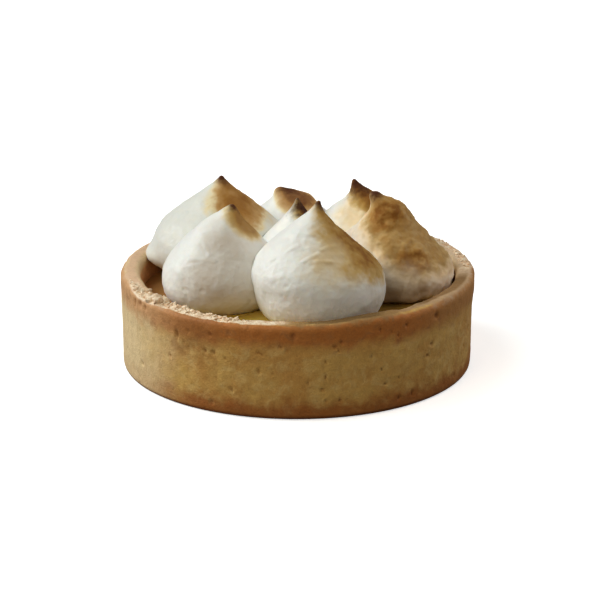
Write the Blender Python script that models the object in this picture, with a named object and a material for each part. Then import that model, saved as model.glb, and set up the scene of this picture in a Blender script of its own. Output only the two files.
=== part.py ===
# A single lemon meringue tart: a straight-sided shortcrust shell, lemon curd inside it, and seven
# piped meringue kisses on the curd, six in a ring round one in the middle.
# Run with blender --background --python part.py. Metres, +Z up, origin in the middle of the base.
import math

import bmesh
import bpy
from mathutils import Vector, noise

MM = 0.001

# Driving dimensions
TART_DIAMETER = 100 * MM
TART_HEIGHT = 27 * MM
WALL_DRAFT = 0.4 * MM
WALL_THICKNESS = 5.4 * MM
BASE_THICKNESS = 4.5 * MM
CURD_TOP = 21.2 * MM
GAP = 0.3 * MM

# Crust details
CRUST_SEGMENTS = 150
RIM_ROUND_IN = 1.8 * MM
RIM_ROUND_OUT = 1.4 * MM
BOTTOM_ROUND = 1.3 * MM
FLOOR_ROUND = 3.0 * MM
ARC_STEPS = 2
WALL_ROWS = 5
WALL_WAVE = 0.30 * MM
RIM_WAVE = 0.40 * MM
CRUMBLED_FROM = 190
CRUMBLED_TO = 262
CRUMBLED_FADE = 10
CRUMBLED_DROP = 0.45 * MM
CRUMBLED_ROUGHNESS = 0.75 * MM

# Curd details
CURD_SEGMENTS = 60
CURD_EDGE_RISE = 0.6 * MM
CURD_EDGE_WIDTH = 2.0 * MM

# Meringue details
KISS_SEGMENTS = 28
UNDERSIDE_STEPS = 4
CROWN_STEPS = 10
FOOT_SHARE = 0.55
PRESS_SOFTNESS = 1.6 * MM
TIP_ROUND = 0.5 * MM
LUMP_SIZE = 7 * MM
LUMPS_FROM_RADIUS = 4 * MM
SWELLS_FROM_RADIUS = 1.5 * MM
FLAT_FOOT = 3 * MM
BULGE_SPREAD = 0.22
CURL_FROM = 0.70
OVERHANG = 2.4 * MM

# Each kiss: where it stands, its widest radius, the height of that belly and of the tip above the
# curd, how pointed the crown is (1 is a cosine, above 1 is hollow-sided), how far the tip leans and
# how lumpy it is. A bulge is (direction in degrees, share of the crown's height, swelling). Some
# kisses also bow out half way up the crown, or have a curled tip, and a firm one keeps its round
# side where a softer neighbour is pressed against it.
KISSES = {
    "meringue_front": dict(
        place=(6.5, -26.4), belly=18.6, belly_height=10.4, height=33.1, point=1.40,
        lean=(-1.0, 0.6), bow=(-1.7, 0), lumps=0.35, bulges=[(200, 0.30, 0.3)], firmness=4,
    ),
    "meringue_front_left": dict(
        place=(-21.0, -14.0), belly=16.9, belly_height=7.8, height=28.9, point=1.12,
        lean=(1.2, 0.4), curl=(1.8, 0, 0), lumps=0.30, bulges=[(160, 0.88, 0.6)],
    ),
    "meringue_right": dict(
        place=(27.2, 0.6), belly=18.5, belly_height=6.4, height=28.3, point=1.95,
        lean=(-4.0, 0), curl=(-1.2, 0, 0), lumps=0.80, bulges=[(8, 0.84, 3.9), (255, 0.45, 1.2)],
    ),
    "meringue_back_right": dict(
        place=(19.5, 26.0), belly=13.8, belly_height=7.0, height=24.3, point=1.36,
        lean=(-0.6, 0.2), curl=(-2.0, 0, 0.4), lumps=0.45, bulges=[(10, 0.80, 0.5)],
    ),
    "meringue_back": dict(
        place=(-1.2, 29.4), belly=13.0, belly_height=8.2, height=22.2, point=1.30,
        lean=(-0.4, -0.6), curl=(-3.2, 0.2, -0.6), lumps=0.30,
        bulges=[(0, 0.86, 2.4), (180, 0.82, 1.4)],
    ),
    "meringue_back_left": dict(
        place=(-22.1, 14.0), belly=19.1, belly_height=9.2, height=29.4, point=1.45,
        lean=(0.5, -0.4), lumps=0.35, bulges=[(350, 0.80, 0.5)],
    ),
    "meringue_middle": dict(
        place=(0.9, 0.4), belly=13.8, belly_height=6.5, height=26.4, point=1.42,
        lean=(-0.8, 0.4), lumps=0.25, bulges=[(190, 0.35, 0.4)],
    ),
}

TART_RADIUS = TART_DIAMETER / 2
RIM_INNER_RADIUS = TART_RADIUS - WALL_THICKNESS
FLOOR_RADIUS = RIM_INNER_RADIUS - WALL_DRAFT
KISS_FOOT = CURD_TOP + GAP


def clear_scene():
    for thing in list(bpy.data.objects):
        bpy.data.objects.remove(thing)


def food_material(name, colour, roughness):
    material = bpy.data.materials.new(name)
    material.use_nodes = True
    shader = material.node_tree.nodes["Principled BSDF"]
    shader.inputs["Base Color"].default_value = (*colour, 1.0)
    shader.inputs["Roughness"].default_value = roughness
    shader.inputs["Metallic"].default_value = 0.0
    return material


def add_object(name, shape, material, parent):
    mesh = bpy.data.meshes.new(name)
    bmesh.ops.recalc_face_normals(shape, faces=shape.faces)
    shape.to_mesh(mesh)
    shape.free()
    mesh.shade_smooth()
    mesh.materials.append(material)
    thing = bpy.data.objects.new(name, mesh)
    thing.parent = parent
    bpy.context.scene.collection.objects.link(thing)
    return thing


def arc(centre_r, centre_z, radius, start, end, steps=ARC_STEPS):
    """Points (r, z) on a round corner, from the start angle to the end angle in degrees."""
    for step in range(steps + 1):
        angle = math.radians(start + (end - start) * step / steps)
        yield centre_r + radius * math.cos(angle), centre_z + radius * math.sin(angle)


def turned(outline, segments):
    """The (r, z) outline turned once round the Z axis, as a closed bmesh."""
    shape = bmesh.new()
    points = [shape.verts.new((r, 0, z)) for r, z in outline]
    edges = [shape.edges.new(pair) for pair in zip(points, points[1:])]
    bmesh.ops.spin(
        shape, geom=points + edges, cent=(0, 0, 0), axis=(0, 0, 1),
        angle=math.tau, steps=segments, use_merge=True,
    )
    bmesh.ops.remove_doubles(shape, verts=shape.verts, dist=0.01 * MM)
    return shape


def smooth_step(value):
    value = min(max(value, 0.0), 1.0)
    return value * value * (3 - 2 * value)


def wobble(point, size, seed):
    """Smooth noise between about -1 and 1 that changes over the given size."""
    return noise.noise(Vector(point) / size + Vector((seed * 17.3, seed * 5.1, seed * 9.7)))


def crust_outline():
    """From the middle of the floor, up the inner wall, over the rim and down to the base."""
    top = TART_HEIGHT
    foot_radius = TART_RADIUS - WALL_DRAFT
    outline = [(0, BASE_THICKNESS)]
    outline += arc(FLOOR_RADIUS - FLOOR_ROUND, BASE_THICKNESS + FLOOR_ROUND, FLOOR_ROUND, -90, 0)
    outline += arc(RIM_INNER_RADIUS + RIM_ROUND_IN, top - RIM_ROUND_IN, RIM_ROUND_IN, 180, 90)
    outline += arc(TART_RADIUS - RIM_ROUND_OUT, top - RIM_ROUND_OUT, RIM_ROUND_OUT, 90, 0)
    wall_top = top - RIM_ROUND_OUT
    for row in range(1, WALL_ROWS):
        share = row / WALL_ROWS
        height = wall_top + (BOTTOM_ROUND - wall_top) * share
        outline.append((TART_RADIUS - WALL_DRAFT * share, height))
    outline += arc(foot_radius - BOTTOM_ROUND, BOTTOM_ROUND, BOTTOM_ROUND, 0, -90)
    outline.append((0, 0))
    return outline


def crumbled_share(azimuth):
    """1 along the stretch of rim that has crumbled, fading to 0 past its ends."""
    start = (azimuth - CRUMBLED_FROM) / CRUMBLED_FADE
    end = (CRUMBLED_TO - azimuth) / CRUMBLED_FADE
    return smooth_step(start) * smooth_step(end)


def bake_crust(shape):
    """Uneven wall and rim, and a crumbled stretch of rim at the front left."""
    for vert in shape.verts:
        radius = math.hypot(vert.co.x, vert.co.y)
        height = vert.co.z
        if radius < RIM_INNER_RADIUS - WALL_DRAFT / 2:
            continue
        azimuth = math.degrees(math.atan2(vert.co.y, vert.co.x)) % 360
        outward = Vector((vert.co.x, vert.co.y, 0)) / radius
        on_rim = smooth_step((height - (TART_HEIGHT - 3 * RIM_ROUND_OUT)) / (2 * RIM_ROUND_OUT))
        outside = smooth_step((radius - RIM_INNER_RADIUS) / WALL_THICKNESS)
        above_base = smooth_step(height / (2 * BOTTOM_ROUND))
        crumbled = crumbled_share(azimuth) * on_rim
        place = vert.co.copy()
        wave = wobble(place, 14 * MM, 1) * 0.7 + wobble(place, 5 * MM, 2) * 0.3
        vert.co += outward * (WALL_WAVE * wave * outside * above_base)
        vert.co.z += RIM_WAVE * wobble(place, 16 * MM, 3) * on_rim
        crag = wobble(place, 2.2 * MM, 4)
        vert.co.z += crumbled * (CRUMBLED_ROUGHNESS * crag - CRUMBLED_DROP)
        vert.co -= outward * (crumbled * outside * CRUMBLED_ROUGHNESS * abs(wobble(place, 2.6 * MM, 5)))


def make_crust(material, parent):
    shape = turned(crust_outline(), CRUST_SEGMENTS)
    bake_crust(shape)
    return add_object("crust", shape, material, parent)


def make_curd(material, parent):
    """The lemon curd fills the shell up to a flat top that climbs a little at the wall."""
    bottom = BASE_THICKNESS + GAP
    bottom_radius = FLOOR_RADIUS - FLOOR_ROUND - GAP
    low = BASE_THICKNESS + FLOOR_ROUND
    side_radius = FLOOR_RADIUS - GAP
    edge_top = CURD_TOP + CURD_EDGE_RISE
    outline = [
        (0, bottom),
        (bottom_radius, bottom),
        (side_radius - FLOOR_ROUND / 3, low - FLOOR_ROUND / 2),
        (side_radius, low),
        (side_radius, edge_top),
        (side_radius - CURD_EDGE_WIDTH / 3, edge_top - CURD_EDGE_RISE * 0.6),
        (side_radius - CURD_EDGE_WIDTH, CURD_TOP),
        (0, CURD_TOP),
    ]
    return add_object("lemon_curd", turned(outline, CURD_SEGMENTS), material, parent)


def soft_limit(value, limit):
    """value kept at or under limit, rounding into it as soft meringue does against its neighbour."""
    overlap = max(PRESS_SOFTNESS - abs(value - limit), 0) / PRESS_SOFTNESS
    return min(value, limit) - overlap * overlap * PRESS_SOFTNESS / 4


def contact_planes(name):
    """(point, direction) of the upright planes where this kiss meets its neighbours."""
    own = KISSES[name]
    stand = Vector(own["place"]) * MM
    for other, kiss in KISSES.items():
        apart = Vector(kiss["place"]) * MM - stand
        overlap = (own["belly"] + kiss["belly"]) * MM + GAP - apart.length
        if other == name or overlap < 0:
            continue
        firmness = own.get("firmness", 1)
        other_firmness = kiss.get("firmness", 1)
        yields = other_firmness / (firmness + other_firmness)
        direction = apart.normalized()
        yield stand + direction * (own["belly"] * MM - overlap * yields), direction


def pressed(point, planes):
    """The point kept inside its own share of the tart: off the neighbours and off the crust."""
    flat = Vector((point.x, point.y))
    for contact, direction in planes:
        reach = (flat - contact).dot(direction)
        flat += direction * (soft_limit(reach, 0) - reach)
    over_rim = smooth_step((point.z - TART_HEIGHT + RIM_ROUND_IN / 2) / (2 * RIM_ROUND_IN))
    wall = RIM_INNER_RADIUS - 2 * GAP + OVERHANG * over_rim
    if flat.length > 0:
        flat *= soft_limit(flat.length, wall) / flat.length
    return Vector((flat.x, flat.y, point.z))


def kiss_levels(kiss):
    """(height, radius, share of the crown) of each ring, from the foot to just under the tip."""
    belly = kiss["belly"] * MM
    belly_height = kiss["belly_height"] * MM
    crown = kiss["height"] * MM - belly_height
    foot = belly * FOOT_SHARE
    for step in range(UNDERSIDE_STEPS + 1):
        angle = math.pi / 2 * step / UNDERSIDE_STEPS
        yield belly_height * (1 - math.cos(angle)), foot + (belly - foot) * math.sin(angle), 0.0
    for step in range(1, CROWN_STEPS):
        share = math.sin(math.pi / 2 * step / CROWN_STEPS)
        radius = belly * math.cos(math.pi / 2 * share) ** kiss["point"]
        yield belly_height + crown * share, radius + TIP_ROUND * share, share


def crown_shift(kiss, share):
    """How far the kiss's axis has moved at this share of the crown: by its lean, bow and curl."""
    lean = Vector((*kiss["lean"], 0)) * MM
    bow = Vector((*kiss.get("bow", (0, 0)), 0)) * MM
    curl = Vector(kiss.get("curl", (0, 0, 0))) * MM
    curled = smooth_step((share - CURL_FROM) / (1 - CURL_FROM))
    return lean * share**1.5 + bow * math.sin(math.pi * share) + curl * curled


def swelling(kiss, azimuth, share):
    total = 0.0
    for direction, level, amount in kiss["bulges"]:
        turn = math.radians(azimuth - direction)
        around = max(math.cos(turn), 0.0) ** 2
        total += amount * MM * around * math.exp(-(((share - level) / BULGE_SPREAD) ** 2))
    return total


def make_kiss(name, seed, material, parent):
    kiss = KISSES[name]
    planes = list(contact_planes(name))
    stand = Vector((*kiss["place"], 0)) * MM + Vector((0, 0, KISS_FOOT))
    shape = bmesh.new()
    rings = []
    for height, radius, share in kiss_levels(kiss):
        ring = []
        for segment in range(KISS_SEGMENTS):
            azimuth = 360 * segment / KISS_SEGMENTS
            angle = math.radians(azimuth)
            outward = Vector((math.cos(angle), math.sin(angle), 0))
            point = stand + Vector((0, 0, height)) + crown_shift(kiss, share)
            lumps = wobble(point + outward * radius, LUMP_SIZE, seed) * kiss["lumps"] * MM
            lumps *= smooth_step(radius / LUMPS_FROM_RADIUS)
            swollen = swelling(kiss, azimuth, share) * smooth_step(radius / SWELLS_FROM_RADIUS)
            point += outward * (radius + (lumps + swollen) * smooth_step(height / FLAT_FOOT))
            ring.append(shape.verts.new(pressed(point, planes)))
        rings.append(ring)
    tip = stand + Vector((0, 0, kiss["height"] * MM)) + crown_shift(kiss, 1.0)
    close_rings(shape, rings, shape.verts.new(stand), shape.verts.new(tip))
    return add_object(name, shape, material, parent)


def close_rings(shape, rings, bottom, top):
    """Bands of faces between the rings, and fans that close the foot and the tip."""
    count = len(rings[0])
    for lower, upper in zip(rings, rings[1:]):
        for i in range(count):
            j = (i + 1) % count
            shape.faces.new((lower[i], lower[j], upper[j], upper[i]))
    for i in range(count):
        j = (i + 1) % count
        shape.faces.new((bottom, rings[0][j], rings[0][i]))
        shape.faces.new((rings[-1][i], rings[-1][j], top))


def main():
    clear_scene()
    tart = bpy.data.objects.new("tart", None)
    bpy.context.scene.collection.objects.link(tart)
    pastry = food_material("baked_pastry", (0.50, 0.30, 0.12), 0.75)
    curd = food_material("lemon_curd", (0.72, 0.50, 0.05), 0.25)
    meringue = food_material("torched_meringue", (0.86, 0.84, 0.78), 0.55)
    make_crust(pastry, tart)
    make_curd(curd, tart)
    for seed, name in enumerate(KISSES, start=11):
        make_kiss(name, seed, meringue, tart)


main()
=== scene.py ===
import math
import random

import bmesh
import bpy
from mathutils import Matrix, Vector
from mathutils.bvhtree import BVHTree
from mathutils.kdtree import KDTree


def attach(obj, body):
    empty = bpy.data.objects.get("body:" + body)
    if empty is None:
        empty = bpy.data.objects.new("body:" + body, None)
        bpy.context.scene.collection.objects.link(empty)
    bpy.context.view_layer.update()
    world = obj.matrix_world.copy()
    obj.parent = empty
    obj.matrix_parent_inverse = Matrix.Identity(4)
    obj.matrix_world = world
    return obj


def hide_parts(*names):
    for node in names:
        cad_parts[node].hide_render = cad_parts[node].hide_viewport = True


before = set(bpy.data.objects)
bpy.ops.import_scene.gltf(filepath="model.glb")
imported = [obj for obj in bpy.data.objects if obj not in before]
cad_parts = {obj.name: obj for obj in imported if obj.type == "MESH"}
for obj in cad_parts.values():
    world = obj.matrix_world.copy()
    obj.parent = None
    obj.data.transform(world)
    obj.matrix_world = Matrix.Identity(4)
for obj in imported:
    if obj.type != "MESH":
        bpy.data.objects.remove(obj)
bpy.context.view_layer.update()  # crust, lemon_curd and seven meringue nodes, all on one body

# A single lemon meringue tart: a straight-sided shortcrust shell, lemon curd, and seven piped
# meringue kisses that a torch has browned. Sizes in the dictionaries are in millimetres.
mm = 0.001
up = Vector((0, 0, 1))


def clearSelection():
    bpy.ops.object.select_all(action="DESELECT")


def makeActive(piece):
    clearSelection()
    piece.select_set(True)
    bpy.context.view_layer.objects.active = piece


def startEdit(piece):
    makeActive(piece)
    bpy.ops.object.mode_set(mode="EDIT")


def endEdit():
    bpy.ops.object.mode_set(mode="OBJECT")


def pick(kind, test):
    # selects the vertices, edges or faces that pass the test, and nothing else
    bpy.ops.mesh.select_mode(type=kind)
    bpy.ops.mesh.select_all(action="DESELECT")
    shape = bmesh.from_edit_mesh(bpy.context.object.data)
    parts = {"VERT": shape.verts, "EDGE": shape.edges, "FACE": shape.faces}[kind]
    for part in parts:
        if test(part):
            part.select_set(True)
    shape.select_flush_mode()
    bmesh.update_edit_mesh(bpy.context.object.data)


def useModifier(piece, kind, **settings):
    makeActive(piece)
    modifier = piece.modifiers.new(kind.lower(), kind)
    for name, value in settings.items():
        setattr(modifier, name, value)
    bpy.ops.object.modifier_apply(modifier=modifier.name)


def push(piece, group, distance, direction="NORMAL"):
    # moves what the group holds by that many millimetres
    useModifier(
        piece, "DISPLACE", strength=distance * mm, mid_level=0, direction=direction, vertex_group=group
    )


def soften(piece, group, rounds):
    useModifier(piece, "SMOOTH", factor=0.5, iterations=rounds, vertex_group=group)


def extrudeBy(move):
    bpy.ops.mesh.extrude_region_move(TRANSFORM_OT_translate={"value": move})


def widen(share, centre=(0, 0, 0)):
    bpy.ops.transform.resize(value=(share, share, 1), center_override=centre)


def newCylinder(name, segments, radius, low, high):
    # stands on the axis from one height to another, in millimetres, and is left open for editing
    clearSelection()
    bpy.ops.mesh.primitive_cylinder_add(
        vertices=segments, radius=radius * mm, depth=(high - low) * mm,
        location=(0, 0, (low + high) / 2 * mm),
    )
    piece = bpy.context.object
    piece.name = name
    bpy.ops.object.transform_apply()
    startEdit(piece)
    return piece


def paintGroups(piece, **weights):
    # vertex groups weighted from 0 to 1 by place
    for name, weightAt in weights.items():
        group = piece.vertex_groups.new(name=name)
        for point in piece.data.vertices:
            weight = weightAt(point.co)
            if weight > 0.001:
                group.add([point.index], min(weight, 1.0), "REPLACE")


def roughen(piece, group, size, depth, pattern="CLOUDS", direction="NORMAL", middle=0.5, layers=2):
    # raises and sinks a group by a procedural pattern of that size, both in millimetres
    texture = bpy.data.textures.new(f"{piece.name} {pattern} {size}", pattern)
    texture.noise_scale = size * mm
    if pattern == "CLOUDS":
        texture.noise_depth = layers
    useModifier(
        piece, "DISPLACE", texture=texture, strength=depth * mm, mid_level=middle,
        direction=direction, vertex_group=group, texture_coords="LOCAL",
    )


def easeIn(value):
    value = min(max(value, 0.0), 1.0)
    return value * value * (3 - 2 * value)


def rgb(red, green, blue):
    # a colour given as screen values from 0 to 255, as the linear colour that the nodes take
    def linear(value):
        value /= 255
        return value / 12.92 if value <= 0.04045 else ((value + 0.055) / 1.055) ** 2.4
    return (linear(red), linear(green), linear(blue), 1.0)


def toward(azimuth, rise=0):
    # the unit vector to a direction, raised by so many degrees
    turn, rise = math.radians(azimuth), math.radians(rise)
    return Vector((math.cos(turn) * math.cos(rise), math.sin(turn) * math.cos(rise), math.sin(rise)))


def azimuthOf(co):
    return math.degrees(math.atan2(co.y, co.x)) % 360


def radiusOf(co):
    return math.hypot(co.x, co.y) / mm


def keepShare(piece, name, weightAt):
    # a number for each vertex that the materials read
    shares = piece.data.attributes.new(name=name, type="FLOAT", domain="POINT")
    shares.data.foreach_set("value", [weightAt(point.co) for point in piece.data.vertices])


# The crust

crustSizes = {
    "radius": 50, "height": 27, "wall": 5.4, "draft": 0.4, "base": 4.5,
    "rimRoundOut": 1.9, "rimRoundIn": 1.8, "footRound": 1.3, "floorRound": 3.0,
    "segments": 720, "wallCuts": 46, "rimCuts": 3, "innerCuts": 11,
    "fineFrom": 19.5,  # the inner wall is fine above this height, the curd hides the rest
    "wave": 0.55, "waveSize": 14,  # slow waves of the wall
    "rimWave": 0.75, "rimWaveSize": 16,
    "crumbled": [(194, 66, 12, 1.0), (350, 52, 10, 0.55)],  # from, how far, fade in degrees, how much
    "paled": [(193, 79, 15, 1.0), (350, 52, 10, 0.4)],  # the same for its pale colour
    "paleOutward": (226, 12, 0.9),  # further out up to this direction, fade in degrees, how far
    "paleClear": (204, 6),  # clear of the inner edge up to this direction, fade in degrees
    # the same, how far the rim rises, in millimetres and capped at 1
    "risen": [(346, 90, 14, 2.6), (298, 72, 20, 0.6), (278, 38, 17, 0.85), (135, 75, 15, 1.3)],
    "flared": [(325, 80, 25, 0.5)],  # the same, how far the rim leans out at the right
    "pitDepth": 0.6, "pitCount": 55, "pitSeed": 5,
}

# the pits that show most: direction in degrees, height, half width, half height
clearPits = [
    (229, 20.6, 0.55, 1.5), (242, 22.8, 0.6, 0.6), (240, 17.7, 0.6, 0.7), (243, 17.6, 0.6, 0.8),
    (210, 7.6, 0.6, 0.6), (249, 7.7, 0.6, 0.7), (242, 3.3, 0.7, 0.7), (269, 24.2, 0.9, 1.0),
    (258, 19.1, 0.7, 0.5), (265, 20.9, 0.6, 0.55), (258, 13.7, 0.55, 1.0), (279, 12.2, 0.4, 1.0),
    (278, 8.7, 0.8, 0.7), (282, 20.8, 0.8, 0.6), (284, 22.0, 0.7, 0.6), (297, 24.0, 0.55, 0.6),
    (318, 16.4, 0.8, 0.65), (316, 13.4, 0.7, 0.6), (320, 23.9, 1.0, 0.8), (299, 8.3, 0.6, 0.5),
    (209.5, 25.0, 1.3, 1.2), (206, 24.4, 0.8, 1.4), (213, 24.6, 0.7, 0.9),
]


def scatterPits(size):
    # small random pits all round, on the wall only
    draw = random.Random(size["pitSeed"])
    for _ in range(size["pitCount"]):
        width = draw.uniform(0.22, 0.5)
        yield draw.uniform(0, 360), draw.uniform(3, 24.5), width, width * draw.uniform(0.8, 1.8)


def pitFinder(size):
    # what it returns tells how deep in a pit a place on the wall lies, from 0 to 1
    near = {}
    for pit in clearPits + list(scatterPits(size)):
        for step in range(-2, 3):
            near.setdefault((int(pit[0]) + step) % 360, []).append(pit)

    def pitWeight(co):
        share = 0.0
        if radiusOf(co) > size["radius"] - 1.2 * size["rimRoundOut"]:
            azimuth = azimuthOf(co)
            for direction, height, halfWidth, halfHeight in near.get(int(azimuth), ()):
                across = math.radians(azimuth - direction) * size["radius"] / halfWidth
                along = (co.z / mm - height) / halfHeight
                share = max(share, easeIn(1.25 - math.hypot(across, along)))
        return share

    return pitWeight


def shareAt(azimuth, stretches):
    # the largest share of the stretches there, each fading out at both ends
    return max(
        easeIn((azimuth - start) % 360 / fading) * easeIn((length - (azimuth - start) % 360) / fading) * share
        for start, length, fading, share in stretches
    )


def makeCrust(size):
    radius, height = size["radius"], size["height"]
    inner = radius - size["wall"]
    crust = newCylinder("tart_crust", size["segments"], radius, 0, height)
    pick("VERT", lambda point: point.co.z < mm)
    footShare = 1 - size["draft"] / radius
    widen(footShare)
    pick("FACE", lambda face: face.normal.z > 0.9)
    bpy.ops.mesh.inset(thickness=size["wall"] * mm)
    extrudeBy((0, 0, (size["base"] - height) * mm))
    floorShare = 1 - size["draft"] / inner
    widen(floorShare)

    corners = [
        (radius, height, size["rimRoundOut"], 5),
        (inner, height, size["rimRoundIn"], 6),
        (radius * footShare, 0, size["footRound"], 4),
        (inner * floorShare, size["base"], size["floorRound"], 3),
    ]
    for ringRadius, ringHeight, roundness, steps in corners:
        pick("EDGE", lambda edge: all(
            abs(point.co.z / mm - ringHeight) < 0.01 and abs(radiusOf(point.co) - ringRadius) < 0.05
            for point in edge.verts
        ))
        bpy.ops.mesh.bevel(offset=roundness * mm, segments=steps, affect="EDGES")

    def onSide(co, side):
        return abs(radiusOf(co) - side) < 0.6

    def tallOn(side, edge):
        first, second = (point.co for point in edge.verts)
        return abs(first.z - second.z) > 4 * mm and onSide(first, side)

    pick("EDGE", lambda edge: tallOn(radius, edge))
    bpy.ops.mesh.subdivide(number_cuts=size["wallCuts"])
    pick("FACE", lambda face: onSide(face.calc_center_median(), inner) and abs(face.normal.z) < 0.1)
    bpy.ops.mesh.bisect(plane_co=(0, 0, size["fineFrom"] * mm), plane_no=(0, 0, 1))
    fineAbove = (size["fineFrom"] - 1) * mm
    pick("EDGE", lambda edge: tallOn(inner, edge) and min(p.co.z for p in edge.verts) > fineAbove)
    bpy.ops.mesh.subdivide(number_cuts=size["innerCuts"])

    def acrossRim(edge):
        first, second = (point.co for point in edge.verts)
        onTop = min(first.z, second.z) > (height - 0.01) * mm
        return onTop and abs(radiusOf(first) - radiusOf(second)) > 1

    pick("EDGE", acrossRim)
    bpy.ops.mesh.subdivide(number_cuts=size["rimCuts"])
    for facing, rings, step in ((-1, 10, 4.4), (1, 3, 10)):  # underside, then the hidden floor
        pick("FACE", lambda face: len(face.verts) > 100 and face.normal.z * facing > 0.9)
        for _ in range(rings):
            bpy.ops.mesh.inset(thickness=step * mm)
    bpy.ops.mesh.select_all(action="SELECT")
    bpy.ops.mesh.normals_make_consistent()
    endEdit()
    print("crust: shell modelled,", len(crust.data.polygons), "faces")

    rimFrom = height - 2 * size["rimRoundOut"]

    def sideWeight(co):
        outside = easeIn((radiusOf(co) - (inner + 0.5)) / size["wall"])
        return outside * easeIn(co.z / mm / (2.2 * size["footRound"]))

    def rimWeight(co):
        onWall = radiusOf(co) > inner - 0.6
        return easeIn((co.z / mm - rimFrom) / (1.3 * size["rimRoundOut"])) * onWall

    def crumbledWeight(co):
        inward = easeIn((radius - 0.3 - radiusOf(co)) / 1.1)
        return rimWeight(co) ** 2 * inward * shareAt(azimuthOf(co), size["crumbled"])

    def crumbledColour(co):
        # on the rim's top, out to the wall at the left, and there clear of the inner edge
        azimuth = azimuthOf(co)
        outEnd, outFading, further = size["paleOutward"]
        clearEnd, clearFading = size["paleClear"]
        further *= easeIn((outEnd - azimuth) / outFading)
        inward = easeIn((radius - 0.6 + further - radiusOf(co)) / 1.2)
        onTop = easeIn(co.z / mm - (height - 1.4))
        kept = max(easeIn((radiusOf(co) - inner) / 1.2 - 1), easeIn((azimuth - clearEnd) / clearFading))
        return inward * onTop * kept * shareAt(azimuth, size["paled"])

    def risenWeight(co):
        return rimWeight(co) * shareAt(azimuthOf(co), size["risen"])

    def flaredWeight(co):
        return easeIn((co.z / mm - 15) / 10) * shareAt(azimuthOf(co), size["flared"])

    pitWeight = pitFinder(size)
    paintGroups(
        crust, side=sideWeight, rim=rimWeight, crumbled=crumbledWeight, risen=risenWeight,
        flared=flaredWeight, pits=pitWeight,
    )
    keepShare(crust, "crumbledShare", crumbledColour)
    keepShare(crust, "pitShare", pitWeight)
    roughen(crust, "side", size["waveSize"], size["wave"])
    roughen(crust, "rim", size["rimWaveSize"], size["rimWave"], direction="Z")
    push(crust, "risen", 1, "Z")
    push(crust, "flared", 1, "X")
    roughen(crust, "side", 3.2, 0.3, layers=3)
    roughen(crust, "rim", 2.4, 0.45, direction="Z", layers=3)
    roughen(crust, "crumbled", 2.0, 1.5, direction="Z", middle=0.75)
    roughen(crust, "crumbled", 1.1, 0.5, pattern="VORONOI", middle=0.35)
    push(crust, "pits", -size["pitDepth"])
    bpy.ops.object.shade_smooth()
    print("crust: waves, crumbled rim and pits done")
    return crust


# The lemon curd

curdSizes = {
    "radius": 44.4, "top": 22.7, "bottom": 4.8, "lowRadius": 40.9, "shoulder": 7.6,
    "shoulderShare": 0.988, "edgeRise": 0.6, "edgeWidth": 2.0,
    "segments": 200, "edgeRings": 8, "rings": 20, "ringWidth": 2.0,
    "leftDip": 3.0,  # it dips beside the rim at the left
}


def makeCurd(size):
    curd = newCylinder("curd_filling", size["segments"], size["radius"], size["bottom"], size["top"])
    pick("FACE", lambda face: abs(face.normal.z) < 0.1)
    bpy.ops.mesh.bisect(plane_co=(0, 0, size["shoulder"] * mm), plane_no=(0, 0, 1))
    pick("VERT", lambda point: point.co.z < (size["bottom"] + 0.1) * mm)
    widen(size["lowRadius"] / size["radius"])
    pick("VERT", lambda point: abs(point.co.z / mm - size["shoulder"]) < 0.1)
    widen(size["shoulderShare"])
    pick("FACE", lambda face: face.normal.z > 0.9)
    for _ in range(size["edgeRings"]):
        bpy.ops.mesh.inset(thickness=size["edgeWidth"] / size["edgeRings"] * mm)
    for _ in range(size["rings"]):
        bpy.ops.mesh.inset(thickness=size["ringWidth"] * mm)
    endEdit()

    def topWeight(co):
        return float(co.z / mm > size["top"] - 0.1)

    def edgeWeight(co):
        return topWeight(co) * max(1 - (size["radius"] - radiusOf(co)) / size["edgeWidth"], 0) ** 2

    def leftWeight(co):
        return topWeight(co) * easeIn((-32 - co.x / mm) / 6)

    paintGroups(curd, left=leftWeight, top=topWeight, edge=edgeWeight)
    roughen(curd, "top", 9, 0.4, direction="Z")
    push(curd, "left", -size["leftDip"], "Z")
    push(curd, "edge", size["edgeRise"], "Z")
    bpy.ops.object.shade_smooth_by_angle(angle=math.radians(50))
    print("curd: poured,", len(curd.data.polygons), "faces")
    return curd


# The meringue kisses: where each stands, its widest radius, the height of that belly and of the
# tip, how pointed the crown is, and how far the tip leans. A bulge is direction, share of the
# crown's height and swelling. They stand here in the order in which they keep their shape: each
# is dented by those before it. The torch has browned what lies near its flames (place, reach,
# softness and strength), and charred the side of the tip that "charAt" shifts it to. "tones" are
# a kiss's own colours. Its painted shade patches, given like flames, lay a shade tone over the
# browning: painted shade on the kiss's shaded sides and underside.

kissSizes = {
    "foot": 21.2, "sink": 0.35, "footShare": 0.55, "tipRound": 0.5,
    "ringPoints": 64, "undersideRings": 8, "crownRings": 22,
    "curlFrom": 0.7, "bulgeSpread": 0.22, "flatFoot": 3.0,
    "voxel": 0.38, "lumpSize": 7.0, "creaseWidth": 1.8,
}

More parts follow.
